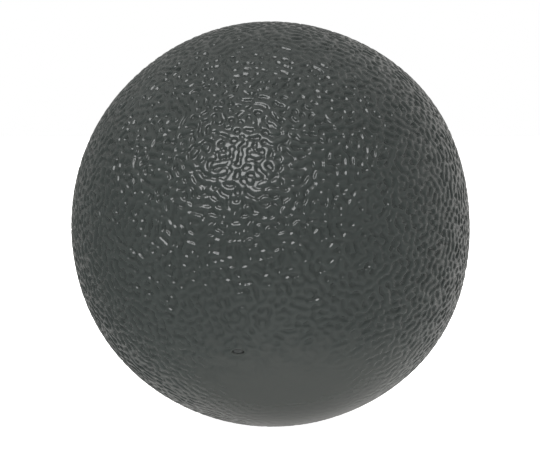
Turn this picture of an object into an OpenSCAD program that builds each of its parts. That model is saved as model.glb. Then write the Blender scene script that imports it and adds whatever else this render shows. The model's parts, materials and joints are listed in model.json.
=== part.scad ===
// Inflatable rubber friction ball for opening and closing screw-back watch cases.
// Two moulded cover halves are lapped and taped over an air bladder, which holds a
// self-closing needle valve. The ball stands on the flat that its weight presses at its
// foot: the origin is the middle of that flat, +Z is up, and the valve faces -Y.

/* [Ball] */
// Outside diameter of the inflated ball
ball_d = 65; // [60:0.5:80]
// Wall of the moulded friction cover
cover_t = 2.8; // [2.6:0.1:3.4]
// Wall of the air bladder
bladder_t = 0.8; // [0.6:0.1:1.2]
// Radius of the flat pressed at the foot
foot_r = 3.2; // [2:0.1:4]
// Thickness of a cement line between two bonded pieces
bond = 0.04; // [0.02:0.01:0.06]

/* [Cover joint] */
// Depth of the step that laps one half into the other
lap_depth = 2; // [1:0.1:3]
// Width of the tape that covers the joint inside
tape_w = 9; // [7:0.5:12]
// Thickness of the joint tape and of the valve patch
lining_t = 0.5; // [0.4:0.05:0.7]

/* [Valve] */
// Angle of the valve below the ball's middle
valve_below = 34; // [0:1:60]
// Turn of the valve to the left of the front
valve_left = 11; // [-60:1:60]
// Diameter of the needle port through the cover
port_d = 1.9; // [1.6:0.1:2.4]
// Cover left over the valve, where the needle port goes through it
port_web = 0.8; // [0.6:0.1:1.4]
// Diameter of the reinforcing patch
patch_d = 18; // [15:0.5:22]
// Diameter of the valve body's flange
flange_d = 14; // [12:0.5:16]
// Diameter of the neck that locates the valve body in the cover
neck_d = 6; // [5.6:0.1:7]
// Diameter of the boss that holds the core
boss_d = 8; // [7.6:0.1:9]
// Diameter of the core
core_d = 4.2; // [3.8:0.1:4.4]
// Diameter of the needle channel in the core
channel_d = 0.9; // [0.6:0.1:1.2]

/* [Hidden] */
$fn = 96;

// Radii from the ball's centre, outside to inside
ball_r = ball_d / 2;
cover_in_r = ball_r - cover_t;
rebate_r = cover_in_r + lining_t;
lap_r = (rebate_r + ball_r) / 2;
bladder_r = cover_in_r - bond;
bladder_in_r = bladder_r - bladder_t;
flange_r = bladder_in_r - bond;
flange_t = 0.9;

// Height of the ball's centre above the flat at its foot
centre_h = sqrt(ball_r * ball_r - foot_r * foot_r);

// Stations along the valve's axis, from the ball's centre
neck_top = ball_r - port_web;
boss_bottom = flange_r - 8.3;
core_bottom = boss_bottom + 1.5;
channel_bottom = core_bottom + 3.3;
funnel_depth = 1.2;
funnel_d = 2.4;
air_hole_d = 1.6;

// The ring on the core that snaps into the valve body
ring_d = core_d + 1;
ring_bottom = core_bottom + 3;
ring_h = 2;

// The slit that closes the core
slit_w = 2.2;
slit_gap = 0.06;

// Turns the valve's axis, drawn as +Z from the ball's centre, to its place on the ball
module in_ball() {
    translate([0, 0, centre_h])
        rotate([90 + valve_below, 0, -valve_left])
            children();
}

// The part of a hollow sphere's wall between two radii
module wall(outer_r, inner_r) {
    difference() {
        sphere(r = outer_r);
        sphere(r = inner_r);
    }
}

// A round bar along the valve's axis, between two stations
module bar(d, from, to) {
    translate([0, 0, from])
        cylinder(d = d, h = to - from);
}

// Everything between two levels across the valve's axis
module slab(from, to) {
    translate([-ball_d, -ball_d, from])
        cube([2 * ball_d, 2 * ball_d, to - from]);
}

// What the ball's weight flattens at its foot
module under_foot() {
    translate([-ball_d, -ball_d, -ball_d])
        cube([2 * ball_d, 2 * ball_d, ball_d]);
}

// The shallow rebate that the joint tape fills, inside both halves
module tape_rebate() {
    intersection() {
        sphere(r = rebate_r);
        slab(lap_depth / 2 - tape_w / 2 - bond, lap_depth / 2 + tape_w / 2 + bond);
    }
}

// Textured half of the cover with the needle port at its pole
module cover_valve_half() {
    color("#40444a")
    difference() {
        in_ball() difference() {
            sphere(r = ball_r);
            sphere(r = cover_in_r);
            slab(-ball_d, bond);
            intersection() {
                sphere(r = lap_r);
                slab(-ball_d, lap_depth + bond);
            }
            tape_rebate();
            intersection() {
                sphere(r = rebate_r);
                bar(patch_d + 2 * bond, 0, ball_d);
            }
            bar(neck_d + 2 * bond, 0, neck_top + bond);
            bar(port_d, 0, ball_d);
        }
        under_foot();
    }
}

// Plain half of the cover, with the tongue that laps into the valve half
module cover_plain_half() {
    color("#3c4045")
    in_ball() difference() {
        union() {
            intersection() {
                sphere(r = ball_r);
                slab(-ball_d, 0);
            }
            intersection() {
                sphere(r = lap_r - bond);
                slab(-ball_d, lap_depth);
            }
        }
        sphere(r = cover_in_r);
        tape_rebate();
    }
}

// Rubber tape bonded over the joint inside the cover
module joint_tape() {
    color("#26282a")
    in_ball() intersection() {
        wall(rebate_r - bond, cover_in_r);
        slab(lap_depth / 2 - tape_w / 2, lap_depth / 2 + tape_w / 2);
    }
}

// Butyl air chamber
module bladder() {
    color("#1b1c1e")
    in_ball() difference() {
        wall(bladder_r, bladder_in_r);
        bar(neck_d + 2 * bond, 0, ball_d);
    }
}

// Rubberised fabric disc between the bladder and the cover, round the valve
module valve_patch() {
    color("#6b675c")
    in_ball() difference() {
        intersection() {
            wall(rebate_r - bond, cover_in_r);
            bar(patch_d, 0, ball_d);
        }
        bar(neck_d + 2 * bond, 0, ball_d);
    }
}

// Moulded valve housing: its flange is held against the bladder by the air
module valve_body() {
    color("#2b2d30")
    in_ball() difference() {
        union() {
            intersection() {
                wall(flange_r, flange_r - flange_t);
                bar(flange_d, 0, ball_d);
            }
            bar(neck_d, flange_r - flange_t, neck_top);
            bar(boss_d, boss_bottom, flange_r - flange_t / 2);
        }
        bar(core_d, core_bottom, ball_r);
        bar(ring_d, ring_bottom, ring_bottom + ring_h);
        bar(air_hole_d, boss_bottom - 1, ball_r);
    }
}

// Soft plug with a needle channel that ends in a self-closing slit
module valve_core() {
    color("#55585c")
    in_ball() difference() {
        union() {
            bar(core_d - 2 * bond, core_bottom + bond, neck_top);
            bar(ring_d - 2 * bond, ring_bottom + bond, ring_bottom + ring_h - bond);
        }
        bar(channel_d, channel_bottom, ball_r);
        translate([0, 0, neck_top - funnel_depth])
            cylinder(d1 = channel_d, d2 = funnel_d, h = funnel_depth + bond);
        translate([-slit_w / 2, -slit_gap / 2, core_bottom - 1])
            cube([slit_w, slit_gap, channel_bottom - core_bottom + 1.5]);
    }
}

cover_valve_half();
cover_plain_half();
joint_tape();
bladder();
valve_patch();
valve_body();
valve_core();
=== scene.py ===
# Looks of an inflatable rubber friction ball for watch cases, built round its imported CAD
# model. The two halves of the cover are rebuilt with their moulded grain, and the plug of
# the valve with its soft nose; the other pieces inside keep their CAD shapes.
# Lengths are in metres.

import json
import math

import bpy
import numpy as np
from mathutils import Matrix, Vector


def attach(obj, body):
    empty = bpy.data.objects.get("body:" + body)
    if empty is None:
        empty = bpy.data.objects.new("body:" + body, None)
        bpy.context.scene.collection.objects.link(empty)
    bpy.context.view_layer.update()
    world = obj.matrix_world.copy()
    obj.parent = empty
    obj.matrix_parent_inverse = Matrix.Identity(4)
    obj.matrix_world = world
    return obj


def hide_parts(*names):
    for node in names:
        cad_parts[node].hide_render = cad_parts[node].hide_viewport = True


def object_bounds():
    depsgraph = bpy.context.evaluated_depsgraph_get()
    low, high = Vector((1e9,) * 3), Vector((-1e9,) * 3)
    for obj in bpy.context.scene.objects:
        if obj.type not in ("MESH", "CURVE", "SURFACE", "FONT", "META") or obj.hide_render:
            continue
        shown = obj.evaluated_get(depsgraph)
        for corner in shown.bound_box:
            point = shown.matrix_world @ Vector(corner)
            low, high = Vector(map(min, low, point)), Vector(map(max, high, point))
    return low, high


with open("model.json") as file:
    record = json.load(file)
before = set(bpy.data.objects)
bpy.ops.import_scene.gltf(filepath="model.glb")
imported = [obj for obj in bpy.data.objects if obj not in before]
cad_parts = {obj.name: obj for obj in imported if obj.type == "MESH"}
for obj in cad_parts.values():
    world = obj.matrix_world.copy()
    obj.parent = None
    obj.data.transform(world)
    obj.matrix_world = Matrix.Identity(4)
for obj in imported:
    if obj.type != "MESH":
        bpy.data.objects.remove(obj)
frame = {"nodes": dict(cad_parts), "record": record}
cad_low, cad_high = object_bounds()

MM = 0.001

# ---------------------------------------------------------------- the ball, from the frame

PORT = next(m for m in frame["record"]["mounts"] if m["name"] == "needle_port")
VALVE_AXIS = Vector(PORT["axis"]).normalized()
PORT_R = PORT["dims"]["r_mm"] * MM
BALL_R = max(cad_high.x - cad_low.x, cad_high.y - cad_low.y) / 2
CENTRE = Vector((0, 0, cad_high.z - BALL_R))


def pole_frame(pole):
    """Axes of a cover half as columns: across, up the ball, and out along its pole."""
    across = Vector((0, 0, 1)).cross(pole).normalized()
    return np.array([across, pole.cross(across), pole]).T


def measured(node):
    """Of each point of a CAD node: its distance from the ball's centre, its height along the
    valve's axis and its distance from that axis."""
    mesh = frame["nodes"][node].data
    co = np.empty(len(mesh.vertices) * 3)
    mesh.vertices.foreach_get("co", co)
    spokes = co.reshape(-1, 3) - np.array(CENTRE)
    reach = np.linalg.norm(spokes, axis=1)
    height = spokes @ np.array(VALVE_AXIS)
    return reach, height, np.sqrt(np.maximum(reach**2 - height**2, 0))


BOND = 0.04 * MM                                     # cement line between two bonded pieces
plain_reach, plain_height, _ = measured("cover_plain_half")
tape_reach, tape_height, _ = measured("joint_tape")
_, _, patch_off_axis = measured("valve_patch")
_, body_height, _ = measured("valve_body")
_, core_height, core_off_axis = measured("valve_core")
_, bladder_height, bladder_off_axis = measured("bladder")

INNER_R = plain_reach.min()                          # the cover's inner face
REBATE_R = tape_reach.max() + BOND                   # floor of the rebates for tape and patch
LAP_DEPTH = plain_height.max()                       # how far the plain half laps in
LAP_R = plain_reach[plain_height > LAP_DEPTH / 2].max() + BOND
TAPE_LOW = tape_height.min() - BOND
TAPE_HIGH = tape_height.max() + BOND
PATCH_R = patch_off_axis.max() + BOND
NECK_HOLE_R = bladder_off_axis[bladder_height > 0].min()
NECK_TOP = body_height.max() + BOND                  # ceiling of the seat for the valve's neck
CORE_LOW, CORE_TOP = core_height.min(), core_height.max()
CORE_R = core_off_axis[core_height < CORE_LOW + BOND].max()
RING_R = core_off_axis.max()                         # the core's snap ring
ring_height = core_height[core_off_axis > RING_R - BOND]
RING_LOW, RING_HIGH = ring_height.min(), ring_height.max()

# ---------------------------------------------------------------- grain and out-of-round

GRAIN_LENGTHS = (1.1 * MM, 1.7 * MM)                 # shortest and longest ripples of the grain
GRAIN_LEVEL = -0.25                                  # lower makes the ridges wider
GRAIN_DEPTH = 0.26 * MM                              # ridge top to groove floor
FLANK = 0.20 * MM                                    # width of the flanks between them
GENTLE = 1.2                                         # higher makes the gentler flanks wider
CROWN = 0.11 * MM                                    # how far tops are domed and floors hollowed
CREASE_DEPTH = 0.02 * MM                             # depth that bumps add to the flanks
UNEVEN_LENGTHS = (2.0 * MM, 6 * MM)                  # size of the deeper and shallower patches
UNEVEN = 0.28                                        # most by which the depth varies there

OUT_OF_ROUND = (                                     # lobes, millimetres, degrees
    (2, 0.22, 176), (3, 0.13, 138), (4, 0.13, 179), (5, 0.07, 179), (6, 0.06, 155))
FOOT_BLEND = 0.06 * MM                               # how softly the foot turns into the flat

PAD_DIRECTION = Vector((0.14, -0.50, -0.855)).normalized()
PAD_HALF = (22 * MM, 17 * MM)                        # half the smooth pad's width and height
PAD_GRAIN = 0.05                                     # share of the grain left on the pad


def smooth(t):
    t = np.clip(t, 0, 1)
    return t * t * (3 - 2 * t)


def ripples(directions, seed, count, lengths):
    """A random pattern over the ball, about 0 with a spread of 1, and the force with which
    it rises, per metre. It adds ripples of many lengths that run out from random centres."""
    random = np.random.default_rng(seed)
    level = np.zeros(len(directions))
    rise = np.zeros(directions.shape)
    for _ in range(count):
        centre = random.normal(size=3)
        centre /= np.linalg.norm(centre)
        pitch = 2 * math.pi / random.uniform(*lengths)
        cosine = np.clip(directions @ centre, -1, 1)
        phase = np.arccos(cosine) * BALL_R * pitch + random.uniform(0, 2 * math.pi)
        level += np.cos(phase)
        # 1.0001 and not 1, so that the root is never 0
        rise += (np.sin(phase) * pitch / np.sqrt(1.0001 - cosine**2))[:, None] * centre
    rise -= np.sum(rise * directions, axis=1)[:, None] * directions
    spread = math.sqrt(count / 2)
    return level / spread, np.linalg.norm(rise, axis=1) / spread


def grain(directions):
    """How far each point of the ball lies inside the edge of a ridge, or outside it if
    negative, and the level of the worm-like pattern that makes the ridges."""
    level, rise = ripples(directions, seed=8, count=120, lengths=GRAIN_LENGTHS)
    least = GENTLE * 2 * math.pi / np.mean(GRAIN_LENGTHS)
    # the level over its rise is about the distance to the ridge's edge
    return (level - GRAIN_LEVEL) / np.hypot(rise, least), level


def ridge_height(inside, level):
    """Height of the grain above its groove floors: flat-topped ridges, and over them a gentle
    swell that follows the pattern's level, which seldom leaves -2 to 2."""
    mesa = np.clip(inside / FLANK + 0.5, 0, 1) * (GRAIN_DEPTH - CROWN)
    return mesa + smooth(level / 4 + 0.5) * CROWN


def ridge_reach(directions):
    """Distance of the ridge tops from the ball's centre: a little out of round, as seen from
    the front, and pressed flat at the foot."""
    ring = directions[:, 0] + 1j * directions[:, 2]
    reach = np.full(len(directions), BALL_R)
    for lobes, height, turn in OUT_OF_ROUND:
        reach += height * MM * (ring**lobes * np.exp(1j * math.radians(turn))).real
    to_floor = CENTRE.z / np.maximum(-directions[:, 2], 1e-3)
    # the lesser of the two, with a soft turn where they meet
    return (reach + to_floor - np.sqrt((reach - to_floor) ** 2 + FOOT_BLEND**2)) / 2


def grain_share(directions):
    """The grain's share of its full depth: uneven all over, and nearly 0 on the smooth pad."""
    across = Vector((0, 0, 1)).cross(PAD_DIRECTION).normalized()
    up = PAD_DIRECTION.cross(across)
    u = directions @ np.array(across) * BALL_R / PAD_HALF[0]
    v = directions @ np.array(up) * BALL_R / PAD_HALF[1]
    pad = np.exp(-(u**2 + v**2) ** 2) * (directions @ np.array(PAD_DIRECTION) > 0)
    uneven, _ = ripples(directions, seed=3, count=50, lengths=UNEVEN_LENGTHS)
    return (1 - (1 - PAD_GRAIN) * pad) * (1 + UNEVEN * np.tanh(uneven))


# ---------------------------------------------------------------- mesh work

FLAT_MAP = "OFBake"                                  # flat map under the name a texture bake uses
OUTER_MAP = 0.84                                     # share of its side that an outer face takes
INNER_MAP = 0.14                                     # share that the faces inside take
MAP_GAP = 0.01                                       # between the two
SHARP_FROM = 62                                      # degrees between faces of a sharp edge
RINGS = 360                                          # of an outer grid, from its pole to the seam
MOUTH_RING = 6                                       # of them, the one that is the port's mouth
INNER_RINGS = 30                                     # of the grid on the plain half's inner face
ARC_STEP = 1.5 * MM                                  # between the rings of the inner faces
LIP = 0.45 * MM                                      # width of the rounded lip round the mouth
LIP_DROP = 0.22 * MM                                 # how far the lip turns down into the port


class Wall:
    """A closed rubber wall, gathered patch by patch, with a flat map for textures."""

    def __init__(self):
        self.points, self.faces, self.flat = [], [], []
        self.traits = {"inside": [], "relief": []}
        self.count = 0

    def add(self, points, inside=0.0, relief=0.0):
        """Takes in points, how far inside a ridge's edge they lie and the grain's share of
        its full depth there, and returns their numbers."""
        self.points.append(points)
        self.traits["inside"].append(np.broadcast_to(inside, len(points)))
        self.traits["relief"].append(np.broadcast_to(relief, len(points)))
        self.count += len(points)
        return np.arange(self.count - len(points), self.count)

    def grid(self, numbers, uv, quads):
        """Takes in the quads of a grid, as places in numbers and in uv."""
        self.faces += numbers[quads].tolist()
        self.flat.append(uv[quads].reshape(-1, 2))

    def strip(self, a, b, v_a, v_b, region):
        """Joins ring a to ring b, whose counts are equal or a whole number of times apart. On
        the flat map the band runs from v_a to v_b, as shares of the width of its region,
        which is given as a low corner and a size."""
        spans = min(len(a), len(b))
        per_a, per_b = len(a) // spans, len(b) // spans
        low, size = region
        corners = []
        for k in range(spans):
            on_a = range(k * per_a, (k + 1) * per_a + 1)
            on_b = range(k * per_b, (k + 1) * per_b + 1)
            face = [a[on_a[0]]]
            face += [b[i % len(b)] for i in on_b]
            face += [a[i % len(a)] for i in on_a[:0:-1]]
            self.faces.append([int(i) for i in face])
            corners.append((on_a[0] / len(a), v_a))
            corners += [(i / len(b), v_b) for i in on_b]
            corners += [(i / len(a), v_a) for i in on_a[:0:-1]]
        self.flat.append(np.array(low) + np.array(corners)[:, ::-1] * np.array(size))

    def finished(self, name, axes):
        """The wall as an object, its points turned into the row's frame."""
        mesh = bpy.data.meshes.new(name)
        mesh.from_pydata(np.concatenate(self.points) @ axes.T + np.array(CENTRE), [], self.faces)
        for trait, values in self.traits.items():
            attribute = mesh.attributes.new(trait, "FLOAT", "POINT")
            attribute.data.foreach_set("value", np.concatenate(values).astype(np.float32))
        flat = mesh.uv_layers.new(name=FLAT_MAP)
        flat.data.foreach_set("uv", np.concatenate(self.flat).astype(np.float32).ravel())
        mesh.polygons.foreach_set("use_smooth", np.ones(len(mesh.polygons), bool))
        mesh.set_sharp_from_angle(angle=math.radians(SHARP_FROM))
        mesh.validate()
        piece = bpy.data.objects.new(name, mesh)
        bpy.context.scene.collection.objects.link(piece)
        return piece


def disc_grid(rings):
    """Ring number and angle of each point of a square grid pulled onto a disc. Ring m is
    a circle of 8 m evenly spaced points, so that no part of the grid is crowded."""
    side = np.arange(-rings, rings + 1)
    x, y = (s.ravel() for s in np.meshgrid(side, side, indexing="ij"))
    across = np.abs(x) > np.abs(y)
    reach = np.where(across, x, y)
    ratio = np.where(across, y, x) / np.where(reach == 0, 1, reach)
    angle = np.where(across, ratio, 2 - ratio) * math.pi / 4 + math.pi * (reach < 0)
    numbers = np.arange(len(x)).reshape(len(side), -1)
    quads = np.stack([numbers[:-1, :-1], numbers[1:, :-1], numbers[1:, 1:], numbers[:-1, 1:]], axis=-1)
    uv = np.stack([x, y], axis=1) / rings / 2 + 0.5
    return np.abs(reach), angle % (2 * math.pi), quads.reshape(-1, 4), uv


def polar(tilt, angle):
    """Unit vectors at an angle round the pole and a tilt away from it."""
    return np.stack([np.sin(tilt) * np.cos(angle), np.sin(tilt) * np.sin(angle),
                     np.broadcast_to(np.cos(tilt), angle.shape)], axis=1)


def mouth_tilt(angle):
    """Tilt of the port's lens-shaped mouth, which is wider than it is high."""
    wide, high, power = PORT_R, 0.44 * MM, 1.6
    inverse = np.abs(np.cos(angle) / wide) ** power + np.abs(np.sin(angle) / high) ** power
    return inverse ** (-1 / power) / BALL_R


def outer_points(tilt, angle, axes, mouth_fade):
    """Points of the grained outer face, how far inside a ridge's edge each one lies, and the
    grain's share of its full depth there."""
    directions = polar(tilt, angle) @ axes.T
    inside, level = grain(directions)
    relief = grain_share(directions) * mouth_fade
    settle = relief * (GRAIN_DEPTH - ridge_height(inside, level)) + LIP_DROP * (1 - mouth_fade) ** 3
    reach = ridge_reach(directions) - settle
    return polar(tilt, angle) * reach[:, None], inside, relief


def arc(radius, start, end):
    """Distance from the axis and height of the points along an arc, from one tilt to another."""
    steps = max(2, math.ceil(abs(end - start) * radius / ARC_STEP))
    tilts = np.linspace(start, end, steps)
    return list(zip(radius * np.sin(tilts), radius * np.cos(tilts)))


def tilt_at_height(radius, height):
    return math.acos(height / radius)


def tilt_off_axis(radius, distance):
    return math.asin(distance / radius)


def oval(half_width, half_height, level, count):
    """A ring of points round the valve's axis, at a level along it."""
    angle = np.arange(count) * 2 * math.pi / count
    x, y = half_width * np.cos(angle), half_height * np.sin(angle)
    return np.stack([x, y, np.full(count, level)], axis=1)


def circle(off_axis, level, count):
    return oval(off_axis, off_axis, level, count)


def lathe(wall, ring, profile, count, region):
    """Carries the wall from a ring of its own along a profile, and returns the last ring."""
    for i, (off_axis, height) in enumerate(profile):
        following = wall.add(circle(off_axis, height, count))
        wall.strip(ring, following, i / len(profile), (i + 1) / len(profile), region)
        ring = following
    return ring


def outer_face(wall, axes, seam_tilt, mouth=False):
    """The grained outer face. Returns its mouth's ring, if it has one, and its seam's ring."""
    ring, angle, quads, uv = disc_grid(RINGS)
    first = MOUTH_RING if mouth else 0
    kept = ring >= first
    if mouth:
        start = mouth_tilt(angle)
        tilt = start + (ring - first) / (RINGS - first) * (seam_tilt - start)
        fade = smooth((tilt - start) * BALL_R / LIP)
    else:
        tilt = ring / RINGS * seam_tilt
        fade = np.ones(len(ring))
    numbers = np.full(len(ring), -1)
    numbers[kept] = wall.add(*outer_points(tilt[kept], angle[kept], axes, fade[kept]))
    # the quads inside the mouth's ring are left out, so that the port stays open
    whole = ring[quads].max(axis=1) > first if mouth else np.ones(len(quads), bool)
    wall.grid(numbers, uv * OUTER_MAP, quads[whole])

    def circle_of(number):
        places = np.flatnonzero(ring == number)
        return numbers[places[np.argsort(angle[places])]]

    return (circle_of(first) if mouth else None), circle_of(RINGS)


def cover_valve_half():
    """The half with the needle port at its pole."""
    wall = Wall()
    axes = pole_frame(VALVE_AXIS)
    mouth, seam = outer_face(wall, axes, tilt_at_height(BALL_R, BOND), mouth=True)
    side_region = ((OUTER_MAP + MAP_GAP, 0.20), (INNER_MAP, 0.79))
    port_region = ((OUTER_MAP + MAP_GAP, MAP_GAP), (INNER_MAP, 0.17))

    count = len(seam) // 10                          # the smooth inner faces need fewer points
    profile = (
        arc(LAP_R, tilt_at_height(LAP_R, BOND), tilt_at_height(LAP_R, LAP_DEPTH + BOND))
        + arc(REBATE_R, tilt_at_height(REBATE_R, LAP_DEPTH + BOND), tilt_at_height(REBATE_R, TAPE_HIGH))
        + arc(INNER_R, tilt_at_height(INNER_R, TAPE_HIGH), tilt_off_axis(INNER_R, PATCH_R))
        + arc(REBATE_R, tilt_off_axis(REBATE_R, PATCH_R), tilt_off_axis(REBATE_R, NECK_HOLE_R))
        + [(NECK_HOLE_R, NECK_TOP)]
    )
    ceiling = lathe(wall, seam, profile, count, side_region)

    # the port's own wall, from the lens-shaped mouth down to its round inner end
    mouth_points = np.concatenate(wall.points)[mouth]
    angle = np.arange(len(mouth)) * 2 * math.pi / len(mouth)
    inner_end = circle(PORT_R, NECK_TOP, len(mouth))
    depth_steps = 6
    ring = ceiling
    for i in range(depth_steps):
        share = i / depth_steps
        following = wall.add(inner_end + (mouth_points - inner_end) * share)
        wall.strip(ring, following, i / (depth_steps + 1), (i + 1) / (depth_steps + 1), port_region)
        ring = following
    wall.strip(ring, mouth, depth_steps / (depth_steps + 1), 1, port_region)
    return wall.finished("cover_valve_half_grained", axes)


def cover_plain_half():
    """The half with the tongue that laps into the other one."""
    wall = Wall()
    axes = pole_frame(-VALVE_AXIS)
    _, seam = outer_face(wall, axes, math.pi / 2)
    side_region = ((OUTER_MAP + MAP_GAP, 0.20), (INNER_MAP, 0.79))
    rim_region = ((OUTER_MAP + MAP_GAP, 0.16), (INNER_MAP, 0.03))

    count = 8 * INNER_RINGS
    tongue_r = LAP_R - BOND
    profile = (
        arc(tongue_r, math.pi / 2, tilt_at_height(tongue_r, -LAP_DEPTH))
        + arc(REBATE_R, tilt_at_height(REBATE_R, -LAP_DEPTH), tilt_at_height(REBATE_R, -TAPE_LOW))
    )
    ring = lathe(wall, seam, profile, count, side_region)

    inner_ring, angle, quads, uv = disc_grid(INNER_RINGS)
    tilt = inner_ring / INNER_RINGS * tilt_at_height(INNER_R, -TAPE_LOW)
    numbers = wall.add(polar(tilt, angle) * INNER_R)
    corner = np.array((OUTER_MAP + MAP_GAP, MAP_GAP))
    wall.grid(numbers, corner + uv * INNER_MAP, quads[:, ::-1])
    places = np.flatnonzero(inner_ring == INNER_RINGS)
    rim = numbers[places[np.argsort(angle[places])]]
    wall.strip(ring, rim, 0, 1, rim_region)
    return wall.finished("cover_plain_half_grained", axes)


def valve_core():
    """The self-closing plug, with a soft nose that fills the port. A needle goes in at the
    nose's pinhole and out through the slit at the plug's inner end."""
    nose_r, nose_top, nose_rise = 0.86 * MM, BALL_R - 0.15 * MM, 0.09 * MM
    nose_half_width, nose_half_height = 0.72 * MM, 0.38 * MM
    pinhole_r, channel_r, edge = 0.06 * MM, 0.45 * MM, 0.12 * MM
    slit_half, slit_gap, slit_top = 1.1 * MM, 0.03 * MM, CORE_LOW + 3.2 * MM
    profile = [
        (pinhole_r + share * (nose_half_width - pinhole_r),
         pinhole_r + share * (nose_half_height - pinhole_r),
         nose_top - nose_rise * share**2)
        for share in np.linspace(0, 1, 7)]
    profile += [(r, r, level) for r, level in (
        (nose_r, NECK_TOP), (nose_r + edge, CORE_TOP),
        (CORE_R - edge, CORE_TOP), (CORE_R, CORE_TOP - edge),
        (CORE_R, RING_HIGH), (RING_R - edge, RING_HIGH), (RING_R, RING_HIGH - edge),
        (RING_R, RING_LOW + edge), (RING_R - edge, RING_LOW), (CORE_R, RING_LOW),
        (CORE_R, CORE_LOW + edge), (CORE_R - edge, CORE_LOW))]
    profile += [(slit_half, slit_gap, CORE_LOW), (slit_half, slit_gap, slit_top - channel_r)]
    profile += [(r, r, level) for r, level in (
        (channel_r, slit_top + channel_r), (channel_r, CORE_TOP - channel_r),
        (pinhole_r, nose_top - 3 * nose_rise))]

    wall = Wall()
    count, steps = 64, len(profile)
    rings = [wall.add(oval(*ring, count)) for ring in profile]
    for i in range(steps):
        wall.strip(rings[i], rings[(i + 1) % steps], i / steps, (i + 1) / steps, ((0, 0), (1, 1)))
    return wall.finished("valve_core_nosed", pole_frame(VALVE_AXIS))


# ---------------------------------------------------------------- materials


class Material:
    """A Principled material with helpers for the nodes that feed it."""

    def __init__(self, name, **sockets):
        self.material = bpy.data.materials.new(name)
        self.material.use_nodes = True
        self.nodes = self.material.node_tree.nodes
        self.links = self.material.node_tree.links
        self.shader = next(n for n in self.nodes if n.type == "BSDF_PRINCIPLED")
        for socket, value in sockets.items():
            self.shader.inputs[socket.replace("_", " ")].default_value = value
        self.place = self.nodes.new("ShaderNodeTexCoord").outputs["Object"]

    def noise(self, size, detail=2.0, roughness=0.5):
        """Noise whose features are about size metres across."""
        node = self.nodes.new("ShaderNodeTexNoise")
        node.inputs["Scale"].default_value = 1 / size
        node.inputs["Detail"].default_value = detail
        node.inputs["Roughness"].default_value = roughness
        self.links.new(self.place, node.inputs["Vector"])
        return node.outputs["Fac"]

    def wave(self, axis, length):
        """Goes between -1 and 1, once per length along an axis."""
        along = self.nodes.new("ShaderNodeVectorMath")
        along.operation = "DOT_PRODUCT"
        along.inputs[1].default_value = axis
        self.links.new(self.place, along.inputs[0])
        return self.math("SINE", self.math("MULTIPLY", along.outputs["Value"], 2 * math.pi / length), 0.0)

    def attribute(self, name):
        node = self.nodes.new("ShaderNodeAttribute")
        node.attribute_name = name
        return node.outputs["Fac"]

    def remap(self, value, low, high, to_low=0.0, to_high=1.0):
        node = self.nodes.new("ShaderNodeMapRange")
        node.inputs["From Min"].default_value = low
        node.inputs["From Max"].default_value = high
        node.inputs["To Min"].default_value = to_low
        node.inputs["To Max"].default_value = to_high
        self.links.new(value, node.inputs["Value"])
        return node.outputs["Result"]

    def mix(self, factor, a, b):
        """A colour between a and b, each a colour or another node's output."""
        node = self.nodes.new("ShaderNodeMix")
        node.data_type = "RGBA"
        self.links.new(factor, node.inputs["Factor"])
        for socket, colour in ((node.inputs[6], a), (node.inputs[7], b)):
            if isinstance(colour, tuple):
                socket.default_value = (*colour, 1)
            else:
                self.links.new(colour, socket)
        return node.outputs[2]

    def math(self, operation, a, b):
        node = self.nodes.new("ShaderNodeMath")
        node.operation = operation
        for socket, value in ((node.inputs[0], a), (node.inputs[1], b)):
            if isinstance(value, (int, float)):
                socket.default_value = value
            else:
                self.links.new(value, socket)
        return node.outputs[0]

    def colour(self, value):
        self.links.new(value, self.shader.inputs["Base Color"])

    def rough(self, value):
        self.links.new(value, self.shader.inputs["Roughness"])

    def bump(self, height, distance):
        """Bumps of the given real height where the height input goes from 0 to 1. A later
        call adds its bumps to those of the calls before it."""
        node = self.nodes.new("ShaderNodeBump")
        node.inputs["Strength"].default_value = 1
        node.inputs["Distance"].default_value = distance
        self.links.new(height, node.inputs["Height"])
        normal = self.shader.inputs["Normal"]
        if normal.is_linked:
            self.links.new(normal.links[0].from_socket, node.inputs["Normal"])
        self.links.new(node.outputs["Normal"], normal)


def cover_rubber():
    """Dark friction rubber: satin on the grain, with painted shade in its grooves, duller on the pad,
    whose lighter colour is partly its own and partly painted light from below.
    """
    m = Material("cover_rubber", IOR=1.5)
    top = m.remap(m.attribute("inside"), -FLANK / 2, FLANK / 2)
    relief = m.attribute("relief")
    pad_relief, grain_relief = 0.05, 0.6             # between them the pad turns into the grain
    groove_fade = m.remap(relief, 0.25, 0.85)        # painted shade: shallow grooves get less of it than deep ones
    groove_shade_and_dull = m.math("MULTIPLY", m.remap(top, 0.0, 1.0, 1.0, 0.0), groove_fade)
    patches = m.remap(m.noise(14 * MM, 3), 0.35, 0.65)
    grained = m.mix(patches, (0.0284, 0.0333, 0.0317), (0.0329, 0.0382, 0.0364))
    # the pad's lighter colour is partly its own tone and partly painted light from below
    skin = m.mix(m.remap(relief, pad_relief, grain_relief), (0.0405, 0.0446, 0.0415), grained)
    # painted shade: the grooves are coloured darker than the ridge tops
    m.colour(m.mix(groove_shade_and_dull, skin, (0.027, 0.0317, 0.0302)))
    wear = m.math("MULTIPLY", m.noise(3 * MM, 3), 0.06)
    dull = m.math("MULTIPLY", groove_shade_and_dull, 0.05)
    sheen = m.remap(relief, pad_relief, grain_relief, 0.20, 0.12)
    m.rough(m.math("ADD", sheen, m.math("ADD", dull, wear)))
    m.bump(m.math("MULTIPLY", top, relief), CREASE_DEPTH)
    m.bump(m.noise(0.12 * MM, 2), 0.002 * MM)
    return m.material


def inner_rubber(name, low, high, rough, feature, bump):
    """Rubber of a piece inside: mottled with talc between two colours, its skin finely moulded."""
    m = Material(name)
    m.colour(m.mix(m.remap(m.noise(feature, 4, 0.6), 0.35, 0.7), low, high))
    m.rough(m.remap(m.noise(feature / 3, 2), 0.3, 0.7, rough - 0.08, rough + 0.1))
    m.bump(m.noise(0.3 * MM, 3), bump)
    return m.material


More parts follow.
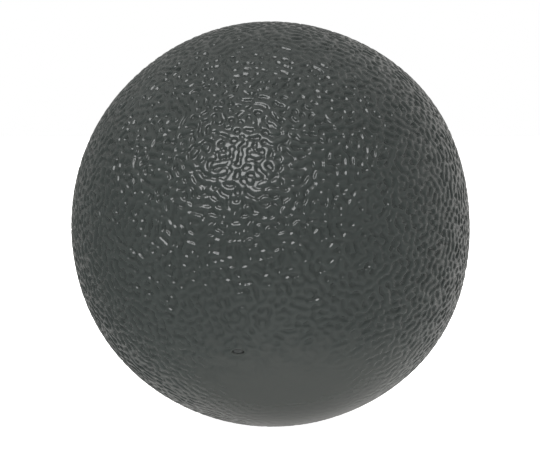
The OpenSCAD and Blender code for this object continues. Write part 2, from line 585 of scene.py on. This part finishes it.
def patch_fabric():
    """Plain weave of tan thread, with dark rubber pressed in between."""
    m = Material("patch_fabric")
    across, up = pole_frame(VALVE_AXIS).T[:2]
    pitch = 0.9 * MM
    weave = m.math("MULTIPLY", m.wave(across, pitch), m.wave(up, pitch))
    thread = m.remap(weave, -1.0, 0.4)
    tan = m.mix(m.noise(4 * MM, 3), (0.17, 0.16, 0.13), (0.25, 0.24, 0.20))
    m.colour(m.mix(thread, (0.050, 0.047, 0.040), tan))
    m.rough(m.remap(thread, 0.0, 1.0, 0.55, 0.85))
    m.bump(weave, 0.04 * MM)
    m.bump(m.noise(0.2 * MM, 2), 0.01 * MM)
    return m.material


def use(name, material):
    """Gives a CAD node its material."""
    slots = frame["nodes"][name].data.materials
    slots.clear()
    slots.append(material)


# ---------------------------------------------------------------- lights, stage and camera


def aim(obj, target):
    obj.rotation_euler = (target - obj.location).to_track_quat("-Z", "Y").to_euler()


def softbox(name, direction, distance, half_width, half_height, radiance):
    """An oval softbox; its half width and half height are in degrees, seen from the ball's
    centre, and its radiance is how bright it looks from there."""
    light = bpy.data.lights.new(name, "AREA")
    light.shape = "ELLIPSE"
    light.size = 2 * distance * math.tan(math.radians(half_width))
    light.size_y = 2 * distance * math.tan(math.radians(half_height))
    area = math.pi / 4 * light.size * light.size_y
    light.energy = radiance * math.pi * area
    lamp = bpy.data.objects.new(name, light)
    bpy.context.scene.collection.objects.link(lamp)
    lamp.location = CENTRE + Vector(direction).normalized() * distance
    aim(lamp, CENTRE)
    return lamp


def surround(level, glows, seen):
    """A studio lit evenly and by broad glows, each from its own side, that the camera sees
    as a plain pale backdrop."""
    world = bpy.data.worlds.new("studio")
    bpy.context.scene.world = world
    world.use_nodes = True
    nodes, links = world.node_tree.nodes, world.node_tree.links
    out = next(n for n in nodes if n.type == "OUTPUT_WORLD")
    lit = next(n for n in nodes if n.type == "BACKGROUND")
    backdrop = nodes.new("ShaderNodeBackground")
    backdrop.inputs["Color"].default_value = (seen, seen, seen, 1)
    place = nodes.new("ShaderNodeTexCoord")

    def value(operation, a, b, c=0.0):
        node = nodes.new("ShaderNodeMath")
        node.operation = operation
        for socket, given in zip(node.inputs, (a, b, c)):
            if isinstance(given, (int, float)):
                socket.default_value = given
            else:
                links.new(given, socket)
        return node.outputs[0]

    total = value("ADD", level, 0.0)
    for direction, strength, power in glows:
        along = nodes.new("ShaderNodeVectorMath")
        along.operation = "DOT_PRODUCT"
        along.inputs[1].default_value = Vector(direction).normalized()
        links.new(place.outputs["Generated"], along.inputs[0])
        share = value("MULTIPLY_ADD", along.outputs["Value"], 0.5, 0.5)
        total = value("MULTIPLY_ADD", value("POWER", share, power), strength, total)
    lit.inputs["Color"].default_value = (1.0, 0.98, 0.955, 1)
    links.new(total, lit.inputs["Strength"])
    path = nodes.new("ShaderNodeLightPath")
    pick = nodes.new("ShaderNodeMixShader")
    links.new(path.outputs["Is Camera Ray"], pick.inputs["Fac"])
    links.new(lit.outputs[0], pick.inputs[1])
    links.new(backdrop.outputs[0], pick.inputs[2])
    links.new(pick.outputs[0], out.inputs["Surface"])


def floor():
    """A plain white floor that glows, so that no shadow shows on it. The ball doesn't mirror it."""
    half = 2.0
    corners = [(-half, -half, 0), (half, -half, 0), (half, half, 0), (-half, half, 0)]
    mesh = bpy.data.meshes.new("floor")
    mesh.from_pydata(corners, [], [(0, 1, 2, 3)])
    obj = bpy.data.objects.new("floor", mesh)
    bpy.context.scene.collection.objects.link(obj)
    paper = Material("paper", Roughness=0.9, Emission_Color=(1, 1, 1, 1), Emission_Strength=1.03)
    paper.colour(paper.mix(paper.noise(0.2, 2), (0.90, 0.90, 0.90), (0.92, 0.92, 0.92)))
    mesh.materials.append(paper.material)
    obj.visible_glossy = False


def camera():
    """A long lens from the front, a little above the ball's middle."""
    lens = 200
    ball_share = 0.748                               # of the picture's width
    rise = math.radians(3)
    off_middle = Vector((-0.25, 0, -0.06)) * MM      # the ball is framed a little to the right
    data = bpy.data.cameras.new("camera")
    data.lens = lens
    distance = math.hypot(lens / data.sensor_width * 2 * BALL_R / ball_share, BALL_R)
    cam = bpy.data.objects.new("camera", data)
    bpy.context.scene.collection.objects.link(cam)
    target = CENTRE + off_middle
    cam.location = target + distance * Vector((0, -math.cos(rise), math.sin(rise)))
    data.clip_start = 0.01
    aim(cam, target)
    bpy.context.scene.camera = cam


# ---------------------------------------------------------------- build

camera()
bpy.context.scene.view_settings.view_transform = "Standard"
# each glow: the side it comes from, its strength, and how narrow it is
surround(0.019, (
    ((0.66, 0.70, 0.04), 0.80, 5),
    ((-0.62, 0.78, 0.10), 0.14, 12),
    ((-0.60, 0.30, 0.72), 0.25, 8),
    ((-0.36, 0.76, -0.54), 0.36, 24),
    ((0, -0.35, -0.94), 0.40, 6),
    ((-0.05, -0.30, 0.95), 0.42, 6),
), 1.0)
softbox("key", (-0.286, -0.745, 0.601), 0.7, 17, 16, 6.8)
softbox("overhead", (-0.05, -0.10, 0.99), 0.8, 42, 42, 1.5).visible_glossy = False
floor()

rubber = cover_rubber()
plug_rubber = inner_rubber(
    "valve_core_rubber", (0.030, 0.034, 0.033), (0.042, 0.046, 0.045), 0.50, 1 * MM, 0.01 * MM)
for make, node, slot, material in (
    (cover_valve_half, "cover_valve_half", "cover_rubber", rubber),
    (cover_plain_half, "cover_plain_half", "cover_rubber", rubber),
    (valve_core, "valve_core", "valve_core_rubber", plug_rubber),
):
    piece = make()
    piece.data.materials.append(material)
    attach(piece, "root")
    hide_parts(node)

use("valve_patch", patch_fabric())
for node, slot, dark, light, rough, feature, bump in (
    ("joint_tape", "tape_rubber", (0.030, 0.031, 0.033), (0.050, 0.050, 0.052), 0.62, 2, 0.03),
    ("bladder", "bladder_rubber", (0.016, 0.017, 0.018), (0.060, 0.060, 0.058), 0.50, 9, 0.02),
    ("valve_body", "valve_body_rubber", (0.030, 0.032, 0.035), (0.045, 0.047, 0.050), 0.42, 3, 0.01),
):
    use(node, inner_rubber(slot, dark, light, rough, feature * MM, bump * MM))
